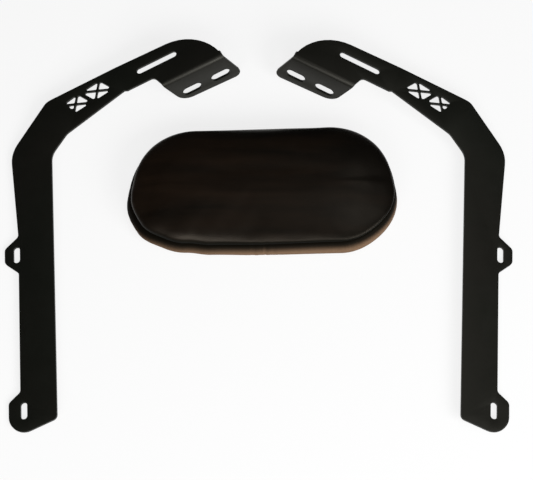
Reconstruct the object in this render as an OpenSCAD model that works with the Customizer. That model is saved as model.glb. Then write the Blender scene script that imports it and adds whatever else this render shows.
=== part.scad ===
// Sissy bar kit laid out on a flat surface: two mirrored side plates of folded
// sheet steel and one padded backrest. X runs along the longest side, Y away
// from the viewer, Z up. The origin is at the middle of the floor area.

/* [Side plate sheet] */
// Thickness of the sheet
plate_t = 3; // [2:0.5:4]
// Inner radius of the two shallow folds in the arm
fold_r = 5; // [4:1:16]
// Distance that the arm's end is set inward by the two shallow folds
step_in = 8; // [4:1:14]

/* [Side plate leg] */
// Width of the straight leg
leg_w = 38; // [34:1:46]
// Width of the leg where the bend starts
bend_w = 45; // [40:1:52]
// Height of the outer corner of the bend above the lower bolt slot
bend_h = 291; // [260:1:320]
// Length of the bend's outer edge between the leg and the arm
bend_run = 76.5; // [66:0.5:84]
// Distance that the shoulder's corner is set back along that edge
shoulder_back = 8.5; // [5:0.5:10]
// Height of the inner corner of the bend above the lower bolt slot
bend_inner_h = 283; // [255:1:290]
// Angle of the bend's outer edge from the leg's cross direction
bend_slope = 54; // [48:1:60]
// Radius of the bend's inner corners
bend_inner_r = 20; // [8:1:26]
// Radius of the bend's outer corner
bend_r = 35; // [20:1:45]
// Depth of the leg below the lower bolt slot at its outer side
foot_drop = 29; // [27:1:36]
// Slope of the leg's lower end
foot_slope = 18.5; // [8:0.5:24]
// Radius of the leg's foot round the lower bolt slot
foot_r = 17; // [12:1:19]

/* [Bolt ears] */
// Width of the bolt slots in the leg
leg_slot_w = 7; // [6:0.5:9]
// Length of the bolt slots in the leg
leg_slot_l = 18; // [14:1:22]
// Distance from the leg's outer edge to the lower bolt slot's centre
low_slot_in = 3.5; // [2:0.5:10]
// Distance that the lower ear stands out from the leg's edge
low_ear_out = 12.5; // [10:0.5:18]
// Height of the upper ear above the lower one
ear_pitch = 172.5; // [150:0.5:200]
// Distance that the upper ear stands out from the leg's edge
mid_ear_out = 15; // [13:0.5:20]
// Straight height of the upper ear's outer edge between its corners
mid_ear_flat = 16; // [12:1:20]
// Distance from the upper ear's outer edge to its slot's centre
mid_slot_rim = 13; // [9:0.5:16]
// Corner radius of the ears
ear_r = 6; // [3:0.5:7]

/* [Arm] */
// Angle of the arm's upper edge from the leg's cross direction
arm_slope = 20; // [12:0.5:28]
// Width of the arm past its second fold
arm_w = 31; // [29:0.5:36]
// Distance from the arm's upper edge line to its lower edge at the first fold
arm_root_w = 50.5; // [46:0.5:54]
// Depth of the notch in the lower edge at the second fold
fold_notch = 1.5; // [0.5:0.5:2.5]
// Distance that the upper edge stands out at the second fold
fold_out = 1; // [0:0.5:2]
// Distance between the arm's two shallow folds
fold_pitch = 76; // [72:1:90]
// Distance from the second fold to the neck before the flange
neck_run = 33; // [26:1:40]
// Distance from the neck to the start of the flange's fold
neck_side = 4; // [2:0.5:8]
// Length of the flange's fold along the arm
flange_l = 72; // [64:1:80]
// Distance that the arm's rounded end stands back from the flange
tip_back = 10.5; // [2:0.5:14]
// Distance that the arm's upper edge draws in towards its rounded end
tip_drop = 1.5; // [0:0.5:3]
// Radius of the arm's rounded end
tip_r = 54; // [30:1:58]

/* [Pad flange] */
// Distance from the arm's upper edge to the flange's fold
flange_q = 41; // [38:0.5:48]
// Angle that the flange is folded through
flange_fold = 80; // [70:1:90]
// Outer radius of the flange's fold
flange_bend_r = 5.5; // [4.5:0.5:9]
// Depth of the flange's flat leaf below its fold
leaf_d = 36; // [30:0.5:42]
// Depth that the leaf loses towards the neck
leaf_rise = 3; // [0:0.5:5]
// Distance that the leaf's free edge is set towards the arm's end
leaf_lean = 13; // [0:0.5:14]
// Radius of the leaf's corner next to the neck
leaf_near_r = 18; // [4:0.5:18]
// Radius of the leaf's corner at the arm's end
leaf_far_r = 7; // [2:0.5:10]
// Width of the slots in the flange
pad_slot_w = 10.5; // [7:0.5:11]
// Length of the slots in the flange
pad_slot_l = 22; // [16:1:26]
// Distance between the centres of the flange's two slots
pad_slot_pitch = 34; // [30:1:38]
// Depth of the slots' centre line below the flange's fold
pad_slot_d = 22; // [16:0.5:24]

/* [Slot and cut-outs in the arm] */
// Length of the long slot
long_slot_l = 47; // [30:1:54]
// Width of the long slot
long_slot_w = 7; // [5:0.5:9]
// Distance from the arm's upper edge to the long slot's centre line
long_slot_q = 16; // [14:0.5:20]
// Distance from the second fold to the long slot's near end
long_slot_from = 19; // [10:0.5:26]
// Long diagonal of each cross cut-out
cross_l = 35; // [30:0.5:36]
// Short diagonal of each cross cut-out
cross_w = 24; // [20:0.5:25]
// Share of its size that the first cut-out keeps at its corner next to the bend
cross_short = 0.65; // [0.6:0.05:1]
// Angle of the cut-outs' long diagonals from the arm's upper edge line
cross_lean = -20; // [-22:1:-16]
// Angle between a cut-out's two diagonals
cross_angle = 80; // [74:1:86]
// Width of the ribs that make the cross
cross_rib = 1.8; // [1.5:0.1:3]
// Distance between the two cross cut-outs
cross_pitch = 27.5; // [27:0.5:30]
// Angle at which the row of cut-outs closes on the arm's upper edge line
cross_rise = 10; // [8:1:12]
// Distance from the first fold to the first cross cut-out's centre
cross_from = 21; // [18:0.5:23]
// Distance of the first cut-out's centre above the middle of the arm's root
cross_up = 4.2; // [3:0.1:5.5]
// Corner radius of the cut-outs
cross_r = 1.7; // [0.5:0.1:1.8]

/* [Pad] */
// Overall width of the pad's outline before its corners are rounded
pad_w = 297; // [260:1:320]
// Width of the pad's outline at its upper edge
pad_top_w = 256; // [220:1:297]
// Height of the pad's outline
pad_h = 135; // [120:1:170]
// Overall thickness of the pad
pad_d = 42; // [34:1:56]
// Radius of the pad's lower corners
pad_low_r = 57.5; // [40:0.5:64]
// Radius of the pad's upper corners
pad_top_r = 68.5; // [40:0.5:70]
// Height of the seam between the side band and the front panel
seam_h = 24; // [20:0.5:28]
// Thickness of the covering
cover_t = 1.2; // [0.8:0.1:1.8]
// Thickness of the base board
board_t = 9; // [6:0.5:12]
// Distance that the side band tucks in under the pad
tuck_in = 6; // [3:0.5:10]
// Distance that the front panel's rolled edge reaches in
roll_in = 15; // [8:1:24]
// Rise of the front panel's crown past its rolled edge
crown = 3; // [1:0.5:6]
// Depth that the seam is pulled in
seam_pinch = 1; // [0.4:0.1:1.8]
// Width of the covering's hem under the base board
hem_w = 20; // [14:1:26]
// Thickness of the cloth on the pad's back
cloth_t = 0.8; // [0.5:0.1:1.2]
// Distance from the pad's outline to the edge of the cloth on its back
cloth_in = 14; // [10:1:20]
// Gap between the pad's pieces where one lies on another
pad_fit = 0.2; // [0.1:0.05:0.3]

/* [Pad fixings] */
// Distance between the left and right threaded inserts
insert_span = 150; // [110:1:180]
// Distance between the upper and lower threaded inserts
insert_rise = 34; // [30:1:38]
// Core diameter of the inserts' thread
insert_bore = 6.8; // [5:0.1:8.5]
// Outer diameter of the inserts' barrel
insert_barrel = 10; // [9:0.5:12]
// Diameter of the inserts' flange
insert_flange = 19; // [15:0.5:24]
// Thickness of the inserts' flange
insert_flange_t = 1.5; // [1:0.1:2]

/* [Layout] */
// Place of the right-hand plate's lower bolt slot across the layout
right_x = -236.9; // [-260:0.1:-200]
// Place of the right-hand plate's lower bolt slot along the layout
right_y = -194.5; // [-220:0.1:-160]
// Turn of the right-hand plate in the layout
right_turn = 3.4; // [-5:0.1:10]
// Place of the left-hand plate's lower bolt slot across the layout
left_x = 238.1; // [200:0.1:260]
// Place of the left-hand plate's lower bolt slot along the layout
left_y = -194.3; // [-220:0.1:-160]
// Turn of the left-hand plate in the layout
left_turn = -3; // [-10:0.1:5]
// Place of the pad's centre across the layout
pad_x = 4; // [-20:0.1:20]
// Place of the pad's centre along the layout
pad_y = 45.2; // [20:0.1:70]
// Turn of the pad in the layout
pad_turn = 1.2; // [-10:0.1:10]

/* [Hidden] */

// Turn in degrees that one short side of a rounded corner covers
arc_turn = 9;
// Slope of the ears' shoulders
ear_slope = 40;
// Height of the lower ear's outer edge above its bolt slot
low_ear_top = 10;
// Radius where an ear or the neck runs into an edge
inside_r = 5;
// Radius of the leg's lower inner corner
foot_corner_r = 6;
// Radius of the arm's upper edge where it meets the bend
shoulder_r = 14;
// Radius of the neck before the flange
neck_r = 6;
// Radius of the notch at the second fold
notch_r = 1.2;
// Distance that cutting bodies pass the sheet
over = 40;
// Reach of the uncut sheet past the outline
reach = 460;
// Rounds that the search for the resting points takes
rest_rounds = 5;
// Number of rings across a rolled or tucked edge and across the crown
roll_rings = 6;
crown_rings = 4;
// Share of the pad's half height that the crown's rings reach
crown_share = 0.86;
// Share of a side that its rounded corners may take up
corner_share = 0.98;
// Depth below the seam at which the side band has its full width
band_full_drop = 4;
// Gap that the cloth on the back leaves round the inserts
cloth_gap = 1;
$fn = 48;

// Edges of the leg, with the lower bolt slot's centre at the origin
leg_in = leg_w - low_slot_in;
leg_out = -low_slot_in;
low_out = leg_out - low_ear_out;
mid_out = leg_out - mid_ear_out;
bend_out = leg_in - bend_w;
// Place where the bend's outer edge would meet the arm's upper edge line
arm_x = bend_out + bend_run * cos(bend_slope);
arm_y = bend_h + bend_run * sin(bend_slope);
// Distances along the arm of the neck and of the flange's two ends
neck_p = fold_pitch + neck_run;
flange_p = neck_p + neck_side;
tip_p = flange_p + flange_l;
// Radius of the arm's end as its end edge has room for it
tip_turn = 90 - atan(tip_back / (flange_q - tip_drop));
tip_fit = min(tip_r, corner_share * norm([tip_back, flange_q - tip_drop]) / tan(tip_turn / 2));

function unit(v) = v / norm(v);
function flat(v) = [v.x, v.y];
// A point p along the arm's upper edge line and q in from it
function on_arm(p, q) = [
    arm_x + p * cos(arm_slope) + q * sin(arm_slope),
    arm_y + p * sin(arm_slope) - q * cos(arm_slope)
];
function with_r(p, r) = [p.x, p.y, r];
// One corner of an outline as an arc of radius r between its two straight sides
function corner_arc(a, b, c, r) =
    let (u = unit(a - b), v = unit(c - b), turn = 180 - acos(u * v))
    r == 0 || turn < 0.1 ? [b] :
    let (
        run = r * tan(turn / 2),
        mid = b + unit(u + v) * r / cos(turn / 2),
        first = b + u * run - mid,
        last = b + v * run - mid,
        steps = ceil(turn / arc_turn)
    )
    [for (i = [0:steps])
        mid + (first * sin(turn * (1 - i / steps)) + last * sin(turn * i / steps)) / sin(turn)];
// An outline whose corners are given as x, y and radius
function rounded(c) = [for (i = [0:len(c) - 1]) each corner_arc(
    flat(c[(i + len(c) - 1) % len(c)]), flat(c[i]), flat(c[(i + 1) % len(c)]), c[i][2])];

// Corners of the side plate as seen square to its leg
foot_corners = [
    [low_out, -foot_drop, foot_r],
    [leg_in, (leg_in - low_out) * tan(foot_slope) - foot_drop, foot_corner_r]
];
arm_corners = [
    [leg_in, bend_inner_h, bend_inner_r],
    with_r(on_arm(0, arm_root_w), bend_inner_r),
    with_r(on_arm(fold_pitch - fold_notch, arm_w - fold_notch), notch_r),
    with_r(on_arm(fold_pitch + fold_notch, arm_w), notch_r),
    with_r(on_arm(neck_p, arm_w), neck_r),
    with_r(on_arm(flange_p, flange_q), 0),
    with_r(on_arm(tip_p, flange_q), 0),
    with_r(on_arm(tip_p - tip_back, tip_drop), tip_fit),
    with_r(on_arm(fold_pitch, -fold_out), bend_inner_r),
    with_r([arm_x, arm_y] - shoulder_back * [cos(bend_slope), sin(bend_slope)], shoulder_r),
    [bend_out, bend_h, bend_r]
];
mid_ear_corners = [
    [leg_out, ear_pitch + mid_ear_flat / 2 + mid_ear_out * tan(ear_slope), inside_r],
    [mid_out, ear_pitch + mid_ear_flat / 2, ear_r],
    [mid_out, ear_pitch - mid_ear_flat / 2, ear_r],
    [leg_out, ear_pitch - mid_ear_flat / 2 - mid_ear_out * tan(ear_slope), inside_r]
];
low_ear_corners = [
    [leg_out, low_ear_top + low_ear_out * tan(ear_slope), inside_r],
    [low_out, low_ear_top, ear_r]
];
plate_outline = rounded(concat(foot_corners, arm_corners, mid_ear_corners, low_ear_corners));

module slot_2d(l, w) {
    square([l - w, w], center = true);
    for (side = [-1, 1]) translate([side * (l - w) / 2, 0]) circle(d = w);
}

module slot_cut(l, w, turn = 0) {
    rotate(turn) linear_extrude(2 * over, center = true) slot_2d(l, w);
}

module arm_frame() {
    translate([arm_x, arm_y, 0]) rotate(arm_slope) children();
}

// The sheet from the side, with its two shallow folds across the arm
fold_turn = atan(step_in / fold_pitch);
fold_shift = plate_t * tan(fold_turn / 2);
sheet_side = rounded([
    [-reach, 0, 0],
    [0, 0, fold_r + plate_t],
    [fold_pitch, -step_in, fold_r],
    [reach, -step_in, 0],
    [reach, -step_in - plate_t, 0],
    [fold_pitch - fold_shift, -step_in - plate_t, fold_r + plate_t],
    [-fold_shift, -plate_t, fold_r],
    [-reach, -plate_t, 0]
]);

module folded_sheet() {
    arm_frame()
        translate([0, reach / 4, 0])
            rotate([90, 0, 0])
                linear_extrude(reach * 1.25) polygon(sheet_side);
}

// One of the four openings round a cross, between two of its half diagonals, with corners
// that its three sides have room for
module cross_opening(turn_a, half_a, turn_b, half_b) {
    a = [cos(turn_a), sin(turn_a)];
    b = [cos(turn_b), sin(turn_b)];
    rib = cross_rib / 2 / abs(sin(turn_b - turn_a));
    near = (a + b) * rib;
    end_a = a * half_a * (1 - rib / half_b) + b * rib;
    end_b = b * half_b * (1 - rib / half_a) + a * rib;
    room = abs(cross(end_a - near, end_b - near))
        / (norm(end_a - near) + norm(end_b - near) + norm(end_a - end_b));
    polygon(rounded([for (p = [near, end_a, end_b]) with_r(p, min(cross_r, corner_share * room))]));
}

// A cross cut-out whose corner on the bend's side keeps the share given of its size
module cross_cut(p, q, share) {
    l = cross_l / 2;
    w = cross_w / 2;
    halves = [[l, w], [w, l * (1 + share) / 2], [l * share, w * share], [w, l]];
    turns = [0, cross_angle, 180, 180 + cross_angle, 360];
    translate([p, -q, 0]) rotate(cross_lean) linear_extrude(2 * over, center = true)
        for (i = [0:3]) cross_opening(turns[i], halves[i][0], turns[i + 1], halves[i][1]);
}

module arm_cuts() {
    for (i = [0:1]) cross_cut(
        cross_from + i * cross_pitch * cos(cross_rise),
        arm_root_w / 2 - cross_up - i * cross_pitch * sin(cross_rise),
        i == 0 ? cross_short : 1);
    translate([fold_pitch + long_slot_from + long_slot_l / 2, -long_slot_q, 0])
        slot_cut(long_slot_l, long_slot_w);
}

module leg_cuts() {
    slot_cut(leg_slot_l, leg_slot_w, 90);
    translate([mid_out + mid_slot_rim, ear_pitch, 0]) slot_cut(leg_slot_l, leg_slot_w, 90);
}

// Start of the flange's fold as seen square to its leaf
fold_top = -flange_bend_r * sin(flange_fold);
leaf_slide = leaf_lean / (leaf_d - fold_top);
// Half-way place between the flange's slots, along its fold
slots_k = flange_l / 2 + leaf_slide * (pad_slot_d - fold_top);
// Width of sheet that the flange shares with the arm
fold_root = 4;

module flange_side() {
    difference() {
        circle(r = flange_bend_r);
        circle(r = flange_bend_r - plate_t);
        translate([0, -2 * flange_bend_r]) square(4 * flange_bend_r);
        rotate(flange_fold) translate([-4 * flange_bend_r, -2 * flange_bend_r])
            square([4 * flange_bend_r, 4 * flange_bend_r]);
    }
    rotate(flange_fold) translate([-leaf_d, flange_bend_r - plate_t]) square([leaf_d, plate_t]);
    translate([0, flange_bend_r - plate_t]) square([fold_root, plate_t]);
}

// Outline of the flange as seen square to its leaf
leaf_corners = [
    [fold_root, fold_top - fold_root / 2, 0],
    [flange_l - fold_root, fold_top - fold_root / 2, 0],
    [flange_l, fold_top, 0],
    [flange_l + leaf_lean, leaf_d, leaf_far_r],
    [leaf_lean, leaf_d - leaf_rise, leaf_near_r],
    [0, fold_top, 0]
];

module leaf_frame() {
    translate([0, fold_top, flange_bend_r * cos(flange_fold) - flange_bend_r])
        rotate([180 + flange_fold, 0, 0]) children();
}

module flange() {
    difference() {
        intersection() {
            translate([-over, 0, -flange_bend_r]) rotate([90, 0, 90])
                linear_extrude(flange_l + 2 * over) flange_side();
            leaf_frame() linear_extrude(2 * over, center = true) polygon(rounded(leaf_corners));
        }
        for (side = [-1, 1])
            leaf_frame() translate([slots_k + side * pad_slot_pitch / 2, pad_slot_d, 0])
                slot_cut(pad_slot_l, pad_slot_w);
    }
}

module plate_blank() {
    difference() {
        intersection() {
            folded_sheet();
            linear_extrude(2 * over, center = true) polygon(plate_outline);
        }
        leg_cuts();
        arm_frame() arm_cuts();
    }
}

module side_plate() {
    union() {
        plate_blank();
        arm_frame() translate([flange_p, -flange_q, -step_in]) flange();
    }
}

// The points that the plate rests on: its two ears and its flange's near corner
function under(a, b, c) = [for (p = corner_arc(flat(a), flat(b), flat(c), b[2])) [p.x, p.y, -plate_t]];
function leaf_point(k, l, w) =
    let (
        p = flange_p + k,
        q = flange_q - fold_top + l * cos(flange_fold) - w * sin(flange_fold),
        z = flange_bend_r * (cos(flange_fold) - 1) - l * sin(flange_fold) - w * cos(flange_fold)
    )
    [each on_arm(p, q), z - step_in];
ear_rest = [for (i = [1, 2])
    each under(mid_ear_corners[i - 1], mid_ear_corners[i], mid_ear_corners[i + 1])];
foot_rest = concat(
    under(low_ear_corners[0], low_ear_corners[1], foot_corners[0]),
    under(low_ear_corners[1], foot_corners[0], foot_corners[1])
);
leaf_rest = [for (w = [0, plate_t], p = corner_arc(
    flat(leaf_corners[3]), flat(leaf_corners[4]), flat(leaf_corners[5]), leaf_near_r))
    leaf_point(p.x, p.y, w)];
function lowest(pts, up) = let (h = [for (p = pts) p * up]) pts[search(min(h), h)[0]];
function rest_up(up, rounds) = rounds <= 0 ? up :
    let (
        a = lowest(ear_rest, up),
        b = lowest(foot_rest, up),
        c = lowest(leaf_rest, up),
        n = unit(cross(b - a, c - a))
    )
    rest_up(n.z < 0 ? -n : n, rounds - 1);
plate_up = rest_up([0.2, 0, 0.98], rest_rounds);
plate_lift = -(lowest(ear_rest, plate_up) * plate_up);

// Lays a plate down on its ears and its flange
module laid(x, y, turn, flip) {
    translate([x, y, plate_lift]) rotate(turn) mirror([flip, 0, 0])
        rotate(a = acos(plate_up.z), v = cross(plate_up, [0, 0, 1])) side_plate();
}

module right_side_plate() {
    color([0.09, 0.09, 0.08]) laid(right_x, right_y, right_turn, 0);
}

module left_side_plate() {
    color([0.11, 0.11, 0.1]) laid(left_x, left_y, left_turn, 1);
}

// The pad's outline, with corners that its sides have room for, and rings of it
side_in = (pad_w - pad_top_w) / 2;
side_slope = atan(side_in / pad_h);
side_used = pad_low_r * tan((90 + side_slope) / 2) + pad_top_r * tan((90 - side_slope) / 2);
corner_fit = min(1, corner_share * norm([side_in, pad_h]) / side_used);
pad_outline = rounded([
    [-pad_w / 2, -pad_h / 2, pad_low_r * corner_fit],
    [pad_w / 2, -pad_h / 2, pad_low_r * corner_fit],
    [pad_top_w / 2, pad_h / 2, pad_top_r * corner_fit],
    [-pad_top_w / 2, pad_h / 2, pad_top_r * corner_fit]
]);
function inset_2d(inset) = [for (p = pad_outline)
    [p.x * (1 - inset / (pad_w / 2)), p.y * (1 - inset / (pad_h / 2))]];
function ring(step) = [for (p = inset_2d(step[0])) [p.x, p.y, step[1]]];

// A closed body through rings, which ends in flat caps or joins up with its own start
module loft(steps, joined = false) {
    n = len(pad_outline);
    m = len(steps);
    last = joined ? m - 1 : m - 2;
    sides = [for (j = [0:last], i = [0:n - 1])
        [j * n + i, ((j + 1) % m) * n + i, ((j + 1) % m) * n + (i + 1) % n, j * n + (i + 1) % n]];
    caps = joined ? [] : [[for (i = [0:n - 1]) i], [for (i = [n - 1:-1:0]) (m - 1) * n + i]];
    polyhedron([for (s = steps) each ring(s)], concat(caps, sides), convexity = 6);
}

// Heights of the pad's layers
hem_z = cloth_t;
board_z = hem_z + cover_t;
board_top = board_z + board_t;
board_in = tuck_in + cover_t + pad_fit;
full_z = seam_h - band_full_drop;
crown_in = crown_share * pad_h / 2;

// Steps of a surface that lies t inside the pad's skin: its tucked lower part and its front
function band_steps(t, from_z) = concat(
    [for (i = [0:roll_rings]) let (a = 90 * i / roll_rings)
        [t + tuck_in * (1 - sin(a)), from_z + (full_z - from_z) * (1 - cos(a))]],
    [[t + seam_pinch, seam_h - pad_fit / 2]]
);
function front_steps(t) = concat(
    [for (i = [0:roll_rings]) let (a = 90 * i / roll_rings)
        [t + (i == 0 ? seam_pinch : 0) + roll_in * (1 - cos(a)),
         seam_h + pad_fit / 2 + (pad_d - t - crown - seam_h) * sin(a)]],
    [for (i = [1:crown_rings]) let (s = i / crown_rings)
        [t + roll_in + (crown_in - roll_in) * s, pad_d - t + pad_fit / 2 - crown * (1 - s) ^ 2]]
);
function backwards(s) = [for (i = [len(s) - 1:-1:0]) s[i]];

module in_pad() {
    translate([pad_x, pad_y, 0]) rotate(pad_turn) children();
}

module pad_side_band() {
    color([0.2, 0.15, 0.12]) in_pad() loft(joined = true, steps = concat(
        [[tuck_in + hem_w, hem_z]],
        band_steps(0, hem_z),
        backwards(band_steps(cover_t, board_z)),
        [[tuck_in + hem_w, board_z]]
    ));
}

module pad_front_panel() {
    color([0.15, 0.11, 0.09]) in_pad() loft(concat(backwards(front_steps(cover_t)), front_steps(0)));
}

module pad_foam() {
    skin = cover_t + pad_fit;
    color([0.85, 0.8, 0.6]) in_pad() loft(concat(
        [[board_in - pad_fit, board_top + pad_fit], [board_in - pad_fit, board_z + pad_fit]],
        [for (s = band_steps(skin, board_z + pad_fit)) if (s[0] < board_in - pad_fit) s],
        front_steps(skin)
    ));
}

module at_inserts() {
    for (x = [-1, 1], y = [-1, 1]) translate([x * insert_span / 2, y * insert_rise / 2, 0]) children();
}

module pad_base_board() {
    color([0.72, 0.58, 0.38]) in_pad() difference() {
        translate([0, 0, board_z]) linear_extrude(board_t) polygon(inset_2d(board_in));
        at_inserts() {
            translate([0, 0, board_z - over / 2]) cylinder(d = insert_barrel + pad_fit, h = over);
            translate([0, 0, board_top - insert_flange_t - pad_fit])
                cylinder(d = insert_flange + 2 * pad_fit, h = over);
        }
    }
}

module pad_back_cloth() {
    color([0.1, 0.1, 0.1]) in_pad() difference() {
        linear_extrude(cloth_t - pad_fit) polygon(inset_2d(cloth_in));
        at_inserts() cylinder(d = insert_barrel + 2 * cloth_gap, h = over, center = true);
    }
}

module pad_insert(x, y) {
    color([0.72, 0.72, 0.7]) in_pad() translate([x * insert_span / 2, y * insert_rise / 2, board_z])
        difference() {
            union() {
                cylinder(d = insert_barrel, h = board_t);
                translate([0, 0, board_t - insert_flange_t])
                    cylinder(d = insert_flange, h = insert_flange_t);
            }
            cylinder(d = insert_bore, h = 4 * board_t, center = true);
        }
}

right_side_plate();
left_side_plate();
pad_base_board();
pad_foam();
pad_front_panel();
pad_side_band();
pad_back_cloth();
pad_insert(-1, -1);  // pad_insert_1
pad_insert(1, -1);  // pad_insert_2
pad_insert(-1, 1);  // pad_insert_3
pad_insert(1, 1);  // pad_insert_4
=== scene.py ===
"""Dresses the sissy bar kit: two powder-coated side plates and a leatherette pad on a pale floor."""
import math

import bmesh
import bpy
import numpy as np
from mathutils import Matrix, Vector, noise

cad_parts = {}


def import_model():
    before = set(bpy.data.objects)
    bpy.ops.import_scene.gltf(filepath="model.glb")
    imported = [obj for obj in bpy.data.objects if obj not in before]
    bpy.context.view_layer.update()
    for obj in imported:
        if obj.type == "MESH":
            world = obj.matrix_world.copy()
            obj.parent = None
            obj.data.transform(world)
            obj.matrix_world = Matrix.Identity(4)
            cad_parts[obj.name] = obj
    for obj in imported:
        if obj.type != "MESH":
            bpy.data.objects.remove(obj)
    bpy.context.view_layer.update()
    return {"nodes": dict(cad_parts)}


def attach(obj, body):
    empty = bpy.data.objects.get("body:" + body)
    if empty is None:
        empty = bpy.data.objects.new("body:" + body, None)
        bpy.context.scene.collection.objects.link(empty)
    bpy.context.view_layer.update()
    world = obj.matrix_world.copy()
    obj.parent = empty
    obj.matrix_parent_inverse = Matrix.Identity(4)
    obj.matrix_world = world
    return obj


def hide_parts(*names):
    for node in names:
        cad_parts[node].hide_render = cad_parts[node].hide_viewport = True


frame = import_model()
nodes = frame["nodes"]
MM = 0.001

# View of the photograph
IMAGE_W = 533
ELEVATION = 66
CAMERA_DISTANCE = 2.2
FOCAL_PIXELS = 2095.24
SENSOR_W = 36
LOOK_AT = Vector((0.0082, -0.0029, 0))

# Pad in the layout, in millimetres
PAD_PLACE = (4, 45.2)
PAD_TURN = 1.2
PAD_W = 297
PAD_TOP_W = 256
PAD_H = 135
PAD_LOW_R = 57.5
PAD_TOP_R = 68.5
PAD_D = 42
SEAM_H = 24
COVER_T = 1.2
TUCK_IN = 6
SEAM_PINCH = 9.2
SEAM_TURNED_IN = 11
HEM_W = 20
HEM_Z = 0.8
BOARD_TOP = 11
FOAM_GAP = 0.8
CLOTH_IN = 14
CLOTH_T = 0.6
INSERT_SPAN = 150
INSERT_RISE = 34
INSERT_HOLE = 12

# How much wider the pad's edge rolls at its ends and top than at its lower edge, and how far in
ROLL_LEFT = 1.0
ROLL_RIGHT = 0.3
ROLL_TOP = 0.3
ROLL_REACH = 20
# The lower edge's seam and ridge fall to the left and rise to the right by this much, around one
# height and near the edge
EDGE_RISE = 6
EDGE_RISE_AT = 23
EDGE_RISE_REACH = 11
EDGE_RISE_DEPTH = 24

# How far the stuffed cover stands out from the outline: (way along it from the lower middle, distance)
SWELL = [
    (0, 0), (80, -0.5), (120, -2.2), (180, 1.8), (250, 2), (310, 0.4), (425, -0.7), (480, 0),
    (543, 2.9), (575, 0), (608, -5), (635, -4.4), (660, -1.5),
]

# Join of the band's two ends, at the middle of the lower edge
JOIN_W = 1.6
JOIN_D = 0.9

# Cloth simulation of the front panel, on a net of every so many rings and points. The net is held
# below one height, moves no point by more than the cap, and counts from another height upwards.
NET_ROW = 4
NET_COLUMN = 4
NET_HELD = 25
NET_FRAMES = 20
NET_CAP = 1.4
NET_FREE_Z = 31
NET_FREE_SPAN = 6
# Power by which its movement evens out towards the middle
NET_EVENED = 2
NET_CLOTH = {
    "quality": 8,
    "mass": 0.2,
    "tension_stiffness": 30,
    "compression_stiffness": 30,
    "bending_stiffness": 1,
    "shrink_min": -0.006,
    "use_pressure": True,
    "uniform_pressure_force": 1.2,
}

# Points of the pad's outline, of each of its corners' arcs, and of a profile between two of its keys
OUTLINE_POINTS = 420
CORNER_POINTS = 40
PROFILE_STEPS = 6
# Power by which rings draw together to one point in the middle
TO_MIDDLE_POWER = 6

# Points either side over which the outline's bend is measured and then evened out
BEND_REACH = 3
BEND_EVENED = 8

# Waves of the cover along the outline: length and depth. Their length drifts and their size varies
# with noise over two distances.
WAVE_DRIFT, WAVE_DRIFT_OVER, WAVE_SIZE_OVER = 5, 17, 9
PUCKER_PITCH, PUCKER_FRONT, PUCKER_BAND = 3.6, 0.4, 0.8
ROLL_WAVE_PITCH, ROLL_WAVE_DEPTH = 11, 0.2
GATHER_PITCH, GATHER_DEPTH = 8, 0.35
PLEAT_PITCH, PLEAT_DEPTH = 13, 0.45
SLACK_PITCH, SLACK_DEPTH = 24, 0.1

# Stitches of the seam: their pitch, the share of it that shows, their height at the lower edge and
# their inset at the top
STITCH_PITCH = 3.2
STITCH_SHARE = 0.72
STITCH_Z = 18
STITCH_IN_TOP = 3.3
THREAD_R = 0.22

# Cut edges of the plates, and the distance in metres at which points are one
EDGE_R = 0.45
EDGE_SEGMENTS = 3
EDGE_ANGLE = 40
SAME_POINT = 0.00002

# Floor, in metres, and the share of it that shows plain white
FLOOR_SIZE = 12
FLOOR_WHITE = 0.82


def linear(rgb):
    """Linear colour of an 8-bit colour as it shows on a screen."""
    c = np.array(rgb) / 255
    return tuple(np.where(c <= 0.04045, c / 12.92, ((c + 0.055) / 1.055) ** 2.4)) + (1.0,)


# Materials

# Tints of what the leatherette and the powder coat reflect: a painted colour of warm light in their
# reflections
WARM = (1.0, 0.87, 0.72, 1)
GREENISH = (1.0, 0.97, 0.86, 1)
# Slope of the heights below which the cover's colour is painted light and shade and its gloss changes
PAINTED_LIGHT_SLOPE = (-0.03, 0.08, 1)
# How much lighter the cover's tone grows towards the lower left
LIGHTER_TO_LOWER_LEFT = (-0.9, -0.8, 0)


def new_material(name):
    """A new node material, its tree and its Principled shader."""
    m = bpy.data.materials.new(name)
    m.use_nodes = True
    tree = m.node_tree
    return m, tree, tree.nodes["Principled BSDF"]


def add(tree, kind, inputs=None, **settings):
    """A node with its settings and unlinked inputs."""
    n = tree.nodes.new(kind)
    for key, value in settings.items():
        setattr(n, key, value)
    for key, value in (inputs or {}).items():
        n.inputs[key].default_value = value
    return n


def object_noise(tree, scale, detail=3.0, stretch=(1, 1, 1)):
    """Noise fixed to the object, whose features are about 1/scale metres wide."""
    place = add(tree, "ShaderNodeTexCoord")
    mapping = add(tree, "ShaderNodeMapping", {"Scale": stretch})
    tree.links.new(place.outputs["Object"], mapping.inputs["Vector"])
    n = add(tree, "ShaderNodeTexNoise", {"Scale": scale, "Detail": detail})
    tree.links.new(mapping.outputs["Vector"], n.inputs["Vector"])
    return n.outputs["Fac"]


def object_cells(tree, scale, feature="F1"):
    """Round cells fixed to the object, about 1/scale metres wide."""
    place = add(tree, "ShaderNodeTexCoord")
    n = add(tree, "ShaderNodeTexVoronoi", {"Scale": scale}, feature=feature)
    tree.links.new(place.outputs["Object"], n.inputs["Vector"])
    return n.outputs["Distance"]


def colours(tree, factor, stops):
    """A colour ramp over a factor; stops are (place, colour)."""
    ramp = add(tree, "ShaderNodeValToRGB")
    elements = ramp.color_ramp.elements
    while len(elements) < len(stops):
        elements.new(0.5)
    for element, (place, colour) in zip(elements, stops):
        element.position = place
        element.color = colour
    tree.links.new(factor, ramp.inputs["Fac"])
    return ramp.outputs["Color"]


def ranged(tree, factor, low, high):
    """A factor from 0 to 1 turned into low to high."""
    n = add(tree, "ShaderNodeMapRange", {"To Min": low, "To Max": high})
    tree.links.new(factor, n.inputs["Value"])
    return n.outputs["Result"]


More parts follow.
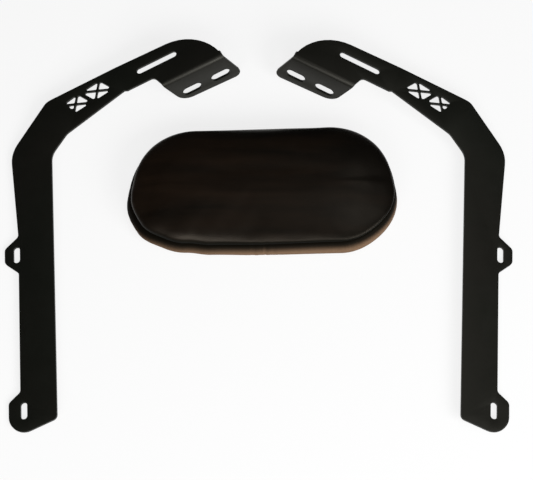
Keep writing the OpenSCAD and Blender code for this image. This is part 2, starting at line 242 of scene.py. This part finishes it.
def bumps(tree, shader, layers):
    """Bump layers (height, strength, depth in metres), one on another."""
    normal = None
    for height, strength, depth in layers:
        n = add(tree, "ShaderNodeBump", {"Strength": strength, "Distance": depth})
        tree.links.new(height, n.inputs["Height"])
        if normal:
            tree.links.new(normal, n.inputs["Normal"])
        normal = n.outputs["Normal"]
    tree.links.new(normal, shader.inputs["Normal"])


def powder_coat():
    """Satin black powder coat: orange peel, fine grain and a slight drift of tone."""
    m, tree, shader = new_material("black_powder_coat")
    tone = object_noise(tree, 7, 2.0)
    colour = colours(tree, tone, [(0.3, linear((8, 11, 7))), (0.7, linear((13, 12, 9)))])
    tree.links.new(colour, shader.inputs["Base Color"])
    tree.links.new(ranged(tree, object_noise(tree, 60), 0.42, 0.54), shader.inputs["Roughness"])
    shader.inputs["Specular IOR Level"].default_value = 0.3
    # Its reflections get a painted tint of warm light
    shader.inputs["Specular Tint"].default_value = GREENISH
    bumps(tree, shader, [
        (object_noise(tree, 700, 2.0), 0.35, 0.0002),
        (object_noise(tree, 2600, 2.0), 0.2, 0.0001),
    ])
    return m


def slanted(tree, slope):
    """A value that grows across the object by slope per metre along x, y and z."""
    place = add(tree, "ShaderNodeTexCoord")
    n = add(tree, "ShaderNodeVectorMath", {1: slope}, operation="DOT_PRODUCT")
    tree.links.new(place.outputs["Object"], n.inputs[0])
    return n.outputs["Value"]


def painted_light_fade(tree, low, high):
    """A factor that rises from 0 to 1 between two heights in metres, on a slope: 0 under the painted
    light and shade, 1 on the cover's own tone.
    """
    n = add(tree, "ShaderNodeMapRange", {"From Min": low, "From Max": high},
            interpolation_type="SMOOTHSTEP")
    tree.links.new(slanted(tree, PAINTED_LIGHT_SLOPE), n.inputs["Value"])
    return n.outputs["Result"]


def mixed(tree, factor, first, second):
    """Two colours mixed by a factor."""
    n = add(tree, "ShaderNodeMix", data_type="RGBA")
    tree.links.new(factor, n.inputs["Factor"])
    tree.links.new(first, n.inputs["A"])
    tree.links.new(second, n.inputs["B"])
    return n.outputs["Result"]


def summed(tree, *shares):
    """The sum of (factor, weight) pairs."""
    total = None
    for factor, weight in shares:
        n = add(tree, "ShaderNodeMath", {1: weight, 2: 0}, operation="MULTIPLY_ADD")
        tree.links.new(factor, n.inputs[0])
        if total:
            tree.links.new(total, n.inputs[2])
        total = n.outputs[0]
    return total


def leatherette(name, low, dark, light, painted_light_heights, rough, gloss):
    """Leatherette with a pebble grain and long streaks; below two heights its colour is painted light and
    shade, given as low, and its gloss changes.
    """
    m, tree, shader = new_material(name)
    tone = summed(tree, (object_noise(tree, 24, 5.0, (0.3, 2.2, 1)), 0.6),
                  (object_noise(tree, 11, 3.0, (0.6, 1.3, 1)), 0.4), (slanted(tree, LIGHTER_TO_LOWER_LEFT), 1))
    streaks, painted_light_low = (
        colours(tree, tone, [(0.38, linear(a)), (0.66, linear(b))])
        for a, b in ((dark, light), (low, [c + 3 for c in low]))
    )
    # Below the heights the cover shows low, a colour of painted light and shade, in place of its streaked
    # tone
    share = painted_light_fade(tree, *painted_light_heights)
    tree.links.new(mixed(tree, share, painted_light_low, streaks), shader.inputs["Base Color"])
    tree.links.new(ranged(tree, object_noise(tree, 90), rough - 0.05, rough + 0.06),
                   shader.inputs["Roughness"])
    tree.links.new(ranged(tree, share, *gloss), shader.inputs["Specular IOR Level"])
    # Its reflections get a painted tint of warm light
    shader.inputs["Specular Tint"].default_value = WARM
    bumps(tree, shader, [
        (object_cells(tree, 750, "DISTANCE_TO_EDGE"), 0.3, 0.00012),
        (object_noise(tree, 1800, 3.0), 0.25, 0.00008),
    ])
    return m


def plywood():
    """Birch plywood: long grain on its faces and thin plies on its edges."""
    m, tree, shader = new_material("plywood")
    grain = object_noise(tree, 30, 6.0, (0.25, 6, 1))
    colour = colours(tree, grain, [(0.3, linear((150, 116, 76))), (0.7, linear((203, 172, 128)))])
    tree.links.new(colour, shader.inputs["Base Color"])
    place = add(tree, "ShaderNodeTexCoord")
    plies = add(tree, "ShaderNodeTexWave", {"Scale": 170, "Distortion": 0.4}, bands_direction="Z")
    tree.links.new(place.outputs["Object"], plies.inputs["Vector"])
    shader.inputs["Roughness"].default_value = 0.7
    bumps(tree, shader, [(plies.outputs["Fac"], 0.3, 0.0002), (grain, 0.3, 0.0002)])
    return m


def foam():
    """Open-cell upholstery foam."""
    m, tree, shader = new_material("foam")
    cells = object_cells(tree, 900)
    colour = colours(tree, cells, [(0.2, linear((190, 172, 118))), (0.8, linear((232, 220, 176)))])
    tree.links.new(colour, shader.inputs["Base Color"])
    shader.inputs["Roughness"].default_value = 0.95
    bumps(tree, shader, [(cells, 0.6, 0.0006)])
    return m


def lining():
    """Black lining cloth with a plain weave."""
    m, tree, shader = new_material("lining_cloth")
    place = add(tree, "ShaderNodeTexCoord")
    waves = []
    for direction in ("X", "Y"):
        w = add(tree, "ShaderNodeTexWave", {"Scale": 260, "Distortion": 0.3}, bands_direction=direction)
        tree.links.new(place.outputs["Object"], w.inputs["Vector"])
        waves.append(w.outputs["Fac"])
    weave = add(tree, "ShaderNodeMath", operation="MULTIPLY")
    tree.links.new(waves[0], weave.inputs[0])
    tree.links.new(waves[1], weave.inputs[1])
    colour = colours(tree, weave.outputs[0], [(0.0, linear((16, 16, 17))), (1.0, linear((44, 43, 43)))])
    tree.links.new(colour, shader.inputs["Base Color"])
    shader.inputs["Roughness"].default_value = 0.9
    bumps(tree, shader, [(weave.outputs[0], 0.7, 0.0003)])
    return m


def zinc():
    """Zinc-plated steel with turning marks."""
    m, tree, shader = new_material("zinc_plate")
    tone = object_noise(tree, 160, 4.0)
    colour = colours(tree, tone, [(0.3, linear((150, 150, 146))), (0.7, linear((196, 194, 184)))])
    tree.links.new(colour, shader.inputs["Base Color"])
    shader.inputs["Metallic"].default_value = 1.0
    tree.links.new(ranged(tree, tone, 0.28, 0.45), shader.inputs["Roughness"])
    bumps(tree, shader, [(object_noise(tree, 2500, 2.0, (1, 1, 6)), 0.2, 0.0001)])
    return m


def thread():
    """Dark brown sewing thread, twisted."""
    m, tree, shader = new_material("sewing_thread")
    twist = object_noise(tree, 2200, 2.0)
    colour = colours(tree, twist, [(0.3, linear((20, 15, 12))), (0.7, linear((52, 42, 34)))])
    tree.links.new(colour, shader.inputs["Base Color"])
    shader.inputs["Roughness"].default_value = 0.6
    bumps(tree, shader, [(twist, 0.5, 0.0001)])
    return m


# Outline of the pad

def corner_arc(a, b, c, r, steps):
    """The arc of radius r that rounds the corner b between its straight sides to a and c."""
    u, v = (a - b) / np.linalg.norm(a - b), (c - b) / np.linalg.norm(c - b)
    turn = math.pi - math.acos(float(u @ v))
    run = r * math.tan(turn / 2)
    middle = b + (u + v) / np.linalg.norm(u + v) * r / math.cos(turn / 2)
    first, last = b + u * run - middle, b + v * run - middle
    shares = np.linspace(0, 1, steps)[:, None]
    return middle + (first * np.sin(turn * (1 - shares)) + last * np.sin(turn * shares)) / math.sin(turn)


def pad_outline(count):
    """Evenly spaced points of the pad's outline, counted from the middle of its lower edge."""
    corners = [
        (-PAD_W / 2, -PAD_H / 2, PAD_LOW_R), (PAD_W / 2, -PAD_H / 2, PAD_LOW_R),
        (PAD_TOP_W / 2, PAD_H / 2, PAD_TOP_R), (-PAD_TOP_W / 2, PAD_H / 2, PAD_TOP_R),
    ]
    points = np.array([c[:2] for c in corners])
    arcs = [corner_arc(points[i - 1], points[i], points[(i + 1) % 4], corners[i][2], CORNER_POINTS)
            for i in range(4)]
    line = np.vstack([[(0, -PAD_H / 2)], arcs[1], arcs[2], arcs[3], arcs[0], [(0, -PAD_H / 2)]])
    lengths = np.r_[0, np.cumsum(np.linalg.norm(np.diff(line, axis=0), axis=1))]
    places = np.linspace(0, lengths[-1], count, endpoint=False)
    return np.stack([np.interp(places, lengths, line[:, k]) for k in (0, 1)], 1), lengths[-1]


def outward(line):
    """A closed line's outward direction at each of its points."""
    step = np.roll(line, -1, 0) - np.roll(line, 1, 0)
    step /= np.linalg.norm(step, axis=1)[:, None]
    return np.stack([step[:, 1], -step[:, 0]], 1)


def swell(places, length):
    """The distance of SWELL at places along the outline, joined smoothly."""
    keys = [(SWELL[-1][0] - length, SWELL[-1][1]), *SWELL, (length, SWELL[0][1])]
    at, out = np.array(keys, float).T
    i = np.clip(np.searchsorted(at, places, "right") - 1, 0, len(at) - 2)
    t = (places - at[i]) / (at[i + 1] - at[i])
    return out[i] + (out[i + 1] - out[i]) * t * t * (3 - 2 * t)


OUTLINE, OUTLINE_L = pad_outline(OUTLINE_POINTS)
ARC = np.arange(OUTLINE_POINTS) * OUTLINE_L / OUTLINE_POINTS
OUTWARD = outward(OUTLINE)
OUTLINE = OUTLINE + OUTWARD * swell(ARC, OUTLINE_L)[:, None]


def rotated(points, degrees):
    """Points turned about the z axis."""
    a = math.radians(degrees)
    p = np.asarray(points, float)
    out = p.copy()
    out[..., 0] = p[..., 0] * math.cos(a) - p[..., 1] * math.sin(a)
    out[..., 1] = p[..., 0] * math.sin(a) + p[..., 1] * math.cos(a)
    return out


def turned(points):
    """Points of the pad's own frame, in millimetres, as places in the layout, in metres."""
    return (rotated(points, PAD_TURN) + (*PAD_PLACE, 0)) * MM


# For each point of the outline: how much wider the edge rolls, how much it rises, and its share of
# the lower edge's profile
ROLL = (ROLL_LEFT * np.clip(-OUTWARD[:, 0], 0, 1) ** 2 + ROLL_RIGHT * np.clip(OUTWARD[:, 0], 0, 1) ** 2
        + ROLL_TOP * np.clip(OUTWARD[:, 1], 0, 1) ** 2)
RISE = EDGE_RISE * OUTLINE[:, 0] / (PAD_W / 2) * np.clip(0.5 - OUTWARD[:, 1], 0, 1)
FRONT = np.clip(0.75 - OUTWARD[:, 1], 0, 1)
FRONT = FRONT * FRONT * (3 - 2 * FRONT)


def bell(value, middle, reach):
    """1 at a middle value, and less away from it."""
    return np.exp(-((value - middle) / reach) ** 2)


def ring(inset, z):
    """One ring of the pad at an inset and a height, each a number or one value a point."""
    inset = np.broadcast_to(inset, len(OUTLINE))
    over_seam = 1 / (1 + np.exp(-(np.asarray(z) - SEAM_H - 1)))
    inset = inset * (1 + ROLL * bell(inset, 0, ROLL_REACH) * over_seam)
    z = z + RISE * bell(z, EDGE_RISE_AT, EDGE_RISE_REACH) * bell(inset, 0, EDGE_RISE_DEPTH)
    to_middle = (1 - PAD_H / PAD_W) * (inset / (PAD_H / 2)) ** TO_MIDDLE_POWER
    return np.stack([
        OUTLINE[:, 0] * (1 - inset / (PAD_W / 2) - to_middle),
        OUTLINE[:, 1] * (1 - inset / (PAD_H / 2)),
        np.broadcast_to(z, len(OUTLINE)),
    ], 1)


def curve_through(points, per_side):
    """A smooth profile through (inset, z) points."""
    p = np.array(points, float)
    p = np.vstack([2 * p[0] - p[1], p, 2 * p[-1] - p[-2]])
    out = []
    for i in range(1, len(p) - 2):
        for t in np.linspace(0, 1, per_side, endpoint=False):
            a, b, c, d = p[i - 1:i + 3]
            out.append(0.5 * (2 * b + (c - a) * t + (2 * a - 5 * b + 4 * c - d) * t ** 2
                              + (3 * b - a - 3 * c + d) * t ** 3))
    return np.array(out + [p[-2]])


def placed(name, data):
    """A new object with its data, in the scene."""
    o = bpy.data.objects.new(name, data)
    bpy.context.scene.collection.objects.link(o)
    return o


def ringed(name, points, rows, columns, caps=()):
    """An object whose faces join closed rows of points, with any caps."""
    faces = [(j * columns + i, j * columns + (i + 1) % columns,
              (j + 1) * columns + (i + 1) % columns, (j + 1) * columns + i)
             for j in range(rows - 1) for i in range(columns)]
    mesh = bpy.data.meshes.new(name)
    mesh.from_pydata(points.tolist(), [], [*faces, *caps])
    return placed(name, mesh)


def smooth(mesh):
    """Shades a mesh smooth."""
    for p in mesh.polygons:
        p.use_smooth = True


def sheet_mesh(name, rings, closed_centre):
    """A surface through rings, outermost first; its last ring may close in the middle."""
    o = ringed(name, turned(np.concatenate(rings)), len(rings), OUTLINE_POINTS)
    if closed_centre:
        b = bmesh.new()
        b.from_mesh(o.data)
        bmesh.ops.remove_doubles(b, verts=b.verts, dist=SAME_POINT)
        b.to_mesh(o.data)
        b.free()
    smooth(o.data)
    return o


def evaluated(o):
    """An object as its modifiers leave it."""
    return o.evaluated_get(bpy.context.evaluated_depsgraph_get())


def apply_modifiers(o):
    """Makes the shape that an object's modifiers give its own mesh."""
    mesh = bpy.data.meshes.new_from_object(evaluated(o))
    o.modifiers.clear()
    o.data = mesh
    smooth(mesh)


def thicken(o, thickness, side=-1):
    """Turns a surface into a closed skin that grows behind it (-1) or in front of it (1)."""
    solid = o.modifiers.new("thickness", "SOLIDIFY")
    solid.thickness = thickness * MM
    solid.offset = side
    solid.use_even_offset = True
    apply_modifiers(o)


def paint(o, material):
    """Puts one material on a piece."""
    o.data.materials.clear()
    o.data.materials.append(material)


def dress(o, material, body="root"):
    """Gives a new piece its material and its body."""
    paint(o, material)
    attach(o, body)
    return o


def corner_share():
    """How strongly the outline bends at each of its points, from 0 to 1."""
    step = np.roll(OUTLINE, -BEND_REACH, 0) - np.roll(OUTLINE, BEND_REACH, 0)
    angle = np.unwrap(np.arctan2(step[:, 1], step[:, 0]))
    bend = np.abs(np.roll(angle, -BEND_REACH) - np.roll(angle, BEND_REACH)) % math.pi
    kernel = np.ones(2 * BEND_EVENED + 1) / (2 * BEND_EVENED + 1)
    bend = np.convolve(np.pad(bend, BEND_EVENED, "wrap"), kernel, "valid")
    return bend / bend.max()


BEND = corner_share()
# Where the cover is gathered: at every corner a little, and most at the lower right one
PUCKERED = 0.15 + 0.35 * BEND + 1.0 * BEND * (OUTWARD[:, 0] > 0) * (OUTWARD[:, 1] < 0)


def outline_noise(over, seed):
    """Noise at each point of the outline, which changes over a distance in millimetres."""
    return np.array([noise.noise(Vector((x / over, y / over, seed))) for x, y in OUTLINE])


def wrinkle(pitch, seed):
    """Uneven waves along the outline, about pitch millimetres long."""
    turns = round(OUTLINE_L / pitch)
    drift = WAVE_DRIFT * outline_noise(WAVE_DRIFT_OVER, seed)
    size = 0.6 + 0.8 * np.abs(outline_noise(WAVE_SIZE_OVER, seed + 5))
    return np.sin(2 * math.pi * turns * ARC / OUTLINE_L + drift) * size


def blended(lower, upper):
    """Rings between two smooth profiles: one at the pad's lower edge and ends, one at its top."""
    near, far = curve_through(lower, PROFILE_STEPS), curve_through(upper, PROFILE_STEPS)
    return [tuple(p[k] * FRONT + q[k] * (1 - FRONT) for k in (0, 1)) for p, q in zip(near, far)]


def spread(values, rows, columns, row_count):
    """Values on a coarse net of rings and points, spread smoothly over every ring and point."""
    wrapped = np.concatenate([values, values[:, :1]], 1)
    ends = [*columns, OUTLINE_POINTS]
    out = np.array([np.interp(np.arange(OUTLINE_POINTS), ends, line) for line in wrapped])
    out = np.array([np.interp(np.arange(row_count), rows, line) for line in out.T]).T
    for width, axis, mode in ((NET_COLUMN, 1, "wrap"), (NET_ROW, 0, "edge")):
        margin = [(width, width) if k == axis else (0, 0) for k in (0, 1)]
        kernel = np.ones(2 * width + 1) / (2 * width + 1)
        for _ in range(2):
            out = np.apply_along_axis(np.convolve, axis, np.pad(out, margin, mode), kernel, "valid")
    return out


def inflated(start, rows, columns):
    """Points of a net of cloth after it is pressed out from inside, held where it starts low."""
    cap = tuple((rows - 1) * columns + i for i in range(columns))
    o = ringed("net", start, rows, columns, [cap])
    seam = o.vertex_groups.new(name="seam")
    seam.add([k for k in range(len(start)) if start[k, 2] < NET_HELD * MM], 1.0, "REPLACE")
    cloth = o.modifiers.new("cloth", "CLOTH")
    for key, value in NET_CLOTH.items():
        setattr(cloth.settings, key, value)
    cloth.settings.vertex_group_mass = "seam"
    cloth.settings.effector_weights.gravity = 0
    cloth.point_cache.frame_start, cloth.point_cache.frame_end = 1, NET_FRAMES
    for step in range(1, NET_FRAMES + 1):
        bpy.context.scene.frame_set(step)
    moved = np.array([v.co[:] for v in evaluated(o).data.vertices])
    bpy.data.objects.remove(o)
    bpy.context.scene.frame_set(1)
    return moved


def settled(rings):
    """Rings of the front panel after its cloth has settled: held at the seam, pressed out by the foam."""
    surface = np.stack(rings)
    rows = [*range(0, len(rings) - 2, NET_ROW), len(rings) - 2]
    columns = list(range(0, OUTLINE_POINTS, NET_COLUMN))
    start = turned(surface[rows][:, columns].reshape(-1, 3))
    shift = (inflated(start, len(rows), len(columns)) - start) / MM
    reach = np.maximum(np.linalg.norm(shift, axis=1), 1e-6)
    shift *= (NET_CAP * np.tanh(reach / NET_CAP) / reach)[:, None]
    shift = rotated(shift, -PAD_TURN).reshape(len(rows), len(columns), 3)
    shift = np.stack([spread(shift[..., k], rows, columns, len(rings)) for k in range(3)], 2)
    shift *= np.clip((surface[..., 2:] - NET_FREE_Z) / NET_FREE_SPAN, 0, 1)
    evened = (np.arange(len(rings)) / (len(rings) - 1))[:, None, None] ** NET_EVENED
    shift += evened * (shift.mean(1, keepdims=True) - shift)
    return list(surface + shift)


def front_cover():
    """The crowned front panel, from its turned-in seam over the rolled edge to the middle."""
    crown = [(53, PAD_D - 1.8), (60, PAD_D - 1.6), (PAD_H / 2, PAD_D - 1.5)]
    rings = blended([
        (SEAM_TURNED_IN, 18.3), (SEAM_TURNED_IN - 0.8, 18.4), (SEAM_PINCH, 18.8), (6.6, 20.6),
        (4.4, 23.2), (2.9, 25.8), (2.3, 28), (2.9, 30), (5.2, 32), (10.4, 34.2), (19, 36.2),
        (30, 38), (42, 39.3), *crown,
    ], [
        (SEAM_TURNED_IN, 24.4), (4.2, 24.5), (2.8, 25.1), (1.5, 27), (0.7, 29.4), (1.1, 32),
        (2.8, 34.6), (6, 36.6), (11, 38.2), (18, 39.4), (26, 40.2), (34, 40.5), (44, 40.5), *crown,
    ])
    pucker = wrinkle(PUCKER_PITCH, 1) * PUCKERED * PUCKER_FRONT
    soft = wrinkle(ROLL_WAVE_PITCH, 2) * BEND * FRONT * ROLL_WAVE_DEPTH
    out = []
    for inset, z in rings:
        near_seam = np.exp(-np.abs(z - SEAM_H - 1) / 2.2)
        roll = bell(z, SEAM_H + 5, 4)
        out.append(ring(inset + pucker * near_seam + soft * roll, z))
    o = sheet_mesh("pad_cover_front", settled(out), True)
    thicken(o, COVER_T)
    return o


def side_cover():
    """The side band, from its seam down to the hem that is pulled under the board."""
    hem = [(0.7, 5.8), (1.9, 3.4), (3.8, 1.8), (TUCK_IN + 0.4, HEM_Z + 0.2), (10, HEM_Z),
           (TUCK_IN + HEM_W, HEM_Z)]
    rings = blended([
        (SEAM_TURNED_IN, 17.7), (SEAM_TURNED_IN - 0.8, 17.6), (SEAM_PINCH - 1.4, 17.4), (4.8, 16.8),
        (3, 15.4), (1.5, 13), (0.5, 10.4), (0.2, 8), *hem,
    ], [
        (SEAM_TURNED_IN, 23.6), (4.2, 23.5), (2.8, 22.9), (1.5, 21.4), (0.4, 19),
        (0, 16), (0.05, 12), (0.3, 8.5), *hem,
    ])
    pucker = wrinkle(PUCKER_PITCH, 3) * PUCKERED * PUCKER_BAND
    gather = wrinkle(GATHER_PITCH, 4) * (0.1 + 0.9 * BEND) * GATHER_DEPTH
    pleat = np.abs(wrinkle(PLEAT_PITCH, 6)) * BEND * PLEAT_DEPTH
    join = bell(np.minimum(ARC, OUTLINE_L - ARC), 0, JOIN_W) * JOIN_D
    out = []
    for inset, z in rings:
        near_seam = np.exp(-np.abs(SEAM_H - 8 - z) / 4.5)
        middle = bell(z, SEAM_H - 11, 7)
        tuck = bell(z, 3, 3) * (inset < TUCK_IN + 1)
        shift = pucker * near_seam + (gather + join) * middle + pleat * tuck
        top = COVER_T * np.clip((z - 11) / 5, 0, 1)
        out.append(ring(inset - COVER_T + shift, z + top))
    o = sheet_mesh("pad_cover_band", out, False)
    thicken(o, COVER_T, 1)
    return o


def foam_core():
    """The foam block between the board and the cover."""
    skin = COVER_T + FOAM_GAP
    base = [(inset, BOARD_TOP + 0.2) for inset in (PAD_H / 2, 20, skin + 3)]
    crown = [(skin + 28, PAD_D - skin - 5), (48, PAD_D - skin - 3.2), (PAD_H / 2, PAD_D - skin - 2)]
    rings = blended([
        *base, (skin + 3.4, BOARD_TOP + 1), (skin + 7, 14), (skin + SEAM_TURNED_IN, 16),
        (skin + SEAM_TURNED_IN, 20), (skin + 8.4, 24), (skin + 6.6, 27.6), (skin + 9, 30),
        (skin + 15, 32.4), *crown,
    ], [
        *base, (skin + 0.6, BOARD_TOP + 1.6), (skin + 0.6, 18), (skin + 5, 22.6), (skin + 5, 25.4),
        (skin + 1.4, 29.4), (skin + 2.4, 32), (skin + 6, 34.4), (skin + 12, 36.4), *crown,
    ])
    return sheet_mesh("pad_foam_core", [ring(inset, z) for inset, z in rings], True)


def back_lining():
    """The lining on the pad's back: one sheet drawn flat, with a hole at each insert."""
    slack = np.abs(wrinkle(SLACK_PITCH, 8)) * SLACK_DEPTH
    profile = [(CLOTH_IN, CLOTH_T), (CLOTH_IN + 3, CLOTH_T)]
    profile += [(inset, CLOTH_T) for inset in np.linspace(CLOTH_IN + 8, PAD_H / 2, 12)]
    rings = [ring(inset, z - slack * (inset < 30)) for inset, z in profile]
    o = sheet_mesh("pad_lining", rings, True)
    thicken(o, CLOTH_T - 0.1)
    r = INSERT_HOLE / 2 * MM
    b = bmesh.new()
    for x in (-INSERT_SPAN / 2, INSERT_SPAN / 2):
        for y in (-INSERT_RISE / 2, INSERT_RISE / 2):
            place = Matrix.Translation(Vector(turned((x, y, 0))))
            bmesh.ops.create_cone(b, cap_ends=True, segments=32, radius1=r, radius2=r, depth=10 * MM,
                                  matrix=place)
    mesh = bpy.data.meshes.new("holes")
    b.to_mesh(mesh)
    b.free()
    holes = placed("holes", mesh)
    cut = o.modifiers.new("holes", "BOOLEAN")
    cut.operation = "DIFFERENCE"
    cut.object = holes
    apply_modifiers(o)
    bpy.data.objects.remove(holes)
    return o


def seam_thread(material):
    """Lock stitches that show down in the seam between the front and the band."""
    count = round(OUTLINE_L / STITCH_PITCH)
    every = OUTLINE_POINTS / count
    curve = bpy.data.curves.new("pad_seam_thread", "CURVE")
    curve.dimensions = "3D"
    curve.bevel_depth = THREAD_R * MM
    curve.bevel_resolution = 2
    curve.use_fill_caps = True
    line = ring((SEAM_PINCH + 0.2) * FRONT + STITCH_IN_TOP * (1 - FRONT),
                STITCH_Z * FRONT + SEAM_H * (1 - FRONT))
    for k in range(count):
        points = []
        for t in np.linspace(k * every, (k + STITCH_SHARE) * every, 4):
            i = int(t) % OUTLINE_POINTS
            f = t - int(t)
            points.append(line[i] * (1 - f) + line[(i + 1) % OUTLINE_POINTS] * f)
        points = turned(points)
        spline = curve.splines.new("POLY")
        spline.points.add(len(points) - 1)
        for p, q in zip(spline.points, points):
            p.co = (*q, 1)
    o = placed("pad_seam_thread", curve)
    mesh = bpy.data.meshes.new_from_object(evaluated(o))
    bpy.data.objects.remove(o)
    return dress(placed("pad_seam_thread", mesh), material)


# Side plates

def finish_plate(o, material):
    """Rounds a plate's cut edges and gives it its coat."""
    weld = o.modifiers.new("weld", "WELD")
    weld.merge_threshold = SAME_POINT
    bevel = o.modifiers.new("edges", "BEVEL")
    bevel.width = EDGE_R * MM
    bevel.segments = EDGE_SEGMENTS
    bevel.limit_method = "ANGLE"
    bevel.angle_limit = math.radians(EDGE_ANGLE)
    bevel.harden_normals = False
    paint(o, material)
    smooth(o.data)


# Floor, light and camera

def floor():
    """A pale floor that shows white to the camera and keeps the object's shadow."""
    bpy.ops.mesh.primitive_plane_add(size=FLOOR_SIZE, location=(0, 0, 0))
    o = bpy.context.object
    o.name = "floor"
    m, tree, shader = new_material("pale_floor")
    shader.inputs["Base Color"].default_value = (0.8, 0.8, 0.8, 1)
    shader.inputs["Roughness"].default_value = 0.9
    shader.inputs["Specular IOR Level"].default_value = 0.0
    glow = add(tree, "ShaderNodeEmission", {"Color": (1, 1, 1, 1), "Strength": 1.0})
    blend = add(tree, "ShaderNodeMixShader")
    path = add(tree, "ShaderNodeLightPath")
    seen = add(tree, "ShaderNodeMath", operation="MAXIMUM")
    tree.links.new(path.outputs["Is Camera Ray"], seen.inputs[0])
    tree.links.new(path.outputs["Is Glossy Ray"], seen.inputs[1])
    either = add(tree, "ShaderNodeMath", operation="MAXIMUM")
    tree.links.new(seen.outputs[0], either.inputs[0])
    tree.links.new(path.outputs["Is Transmission Ray"], either.inputs[1])
    share = add(tree, "ShaderNodeMath", {1: FLOOR_WHITE}, operation="MULTIPLY")
    tree.links.new(either.outputs[0], share.inputs[0])
    tree.links.new(share.outputs[0], blend.inputs["Fac"])
    tree.links.new(shader.outputs["BSDF"], blend.inputs[1])
    tree.links.new(glow.outputs["Emission"], blend.inputs[2])
    tree.links.new(blend.outputs["Shader"], tree.nodes["Material Output"].inputs["Surface"])
    o.data.materials.append(m)


def world(strength):
    """Dim even light all round, and white where the camera sees past the floor."""
    w = bpy.data.worlds.new("studio")
    bpy.context.scene.world = w
    w.use_nodes = True
    tree = w.node_tree
    back = tree.nodes["Background"]
    back.inputs["Color"].default_value = (1, 1, 1, 1)
    path = add(tree, "ShaderNodeLightPath")
    level = add(tree, "ShaderNodeMapRange", {"To Min": strength, "To Max": 1.0})
    tree.links.new(path.outputs["Is Camera Ray"], level.inputs["Value"])
    tree.links.new(level.outputs["Result"], back.inputs["Strength"])


def lamp(name, azimuth, elevation, distance, size, power):
    """A large soft lamp that faces the object from a direction."""
    light = bpy.data.lights.new(name, "AREA")
    light.shape = "RECTANGLE"
    light.size, light.size_y = size
    light.energy = power
    a, e = math.radians(azimuth), math.radians(elevation)
    back = Vector((math.sin(a) * math.cos(e), -math.cos(a) * math.cos(e), math.sin(e)))
    o = placed(name, light)
    o.location = back * distance
    o.rotation_euler = back.to_track_quat("Z", "Y").to_euler()


def camera():
    """The photograph's view: above the front edge, from a distance."""
    data = bpy.data.cameras.new("camera")
    data.sensor_width = SENSOR_W
    data.lens = FOCAL_PIXELS / IMAGE_W * SENSOR_W
    e = math.radians(ELEVATION)
    back = Vector((0, -math.cos(e), math.sin(e)))
    data.clip_start, data.clip_end = 0.1, 50
    o = placed("camera", data)
    o.location = LOOK_AT + back * CAMERA_DISTANCE
    o.rotation_euler = back.to_track_quat("Z", "Y").to_euler()
    bpy.context.scene.camera = o


camera()
floor()
world(0.05)
lamp("front_right", 42, 34, 2.4, (1.9, 1.1), 70)
lamp("front_left", -14, 40, 2.4, (1.3, 1.1), 27)
lamp("high_right", 126, 71, 1.6, (0.35, 0.4), 1.7)
bpy.context.scene.view_settings.view_transform = "Standard"

coat = powder_coat()
for name in ("right_side_plate", "left_side_plate"):
    finish_plate(nodes[name], coat)

# Front panel: below its ridge the rolled edge is given a painted shade, olive and dark, with little
# gloss.
face = leatherette("leatherette_front", low=(8, 9, 6), dark=(3, 2, 1), light=(22, 14, 8),
                   painted_light_heights=(0.026, 0.033), rough=0.38, gloss=(0.01, 0.24))
# Band: below its middle it is painted tan, a painted light from the floor that grows towards the bottom
# edge, over its own dark tone above.
band = leatherette("leatherette_band", low=(104, 82, 63), dark=(7, 6, 3), light=(12, 9, 6),
                   painted_light_heights=(0.007, 0.0168), rough=0.66, gloss=(0.12, 0.06))
front = dress(front_cover(), face)
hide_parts("pad_front_panel")
side = dress(side_cover(), band)
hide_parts("pad_side_band")
core = dress(foam_core(), foam())
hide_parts("pad_foam")
seam_thread(thread())

paint(nodes["pad_base_board"], plywood())
cloth = dress(back_lining(), lining())
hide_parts("pad_back_cloth")
plated = zinc()
for number in range(1, 5):
    paint(nodes[f"pad_insert_{number}"], plated)
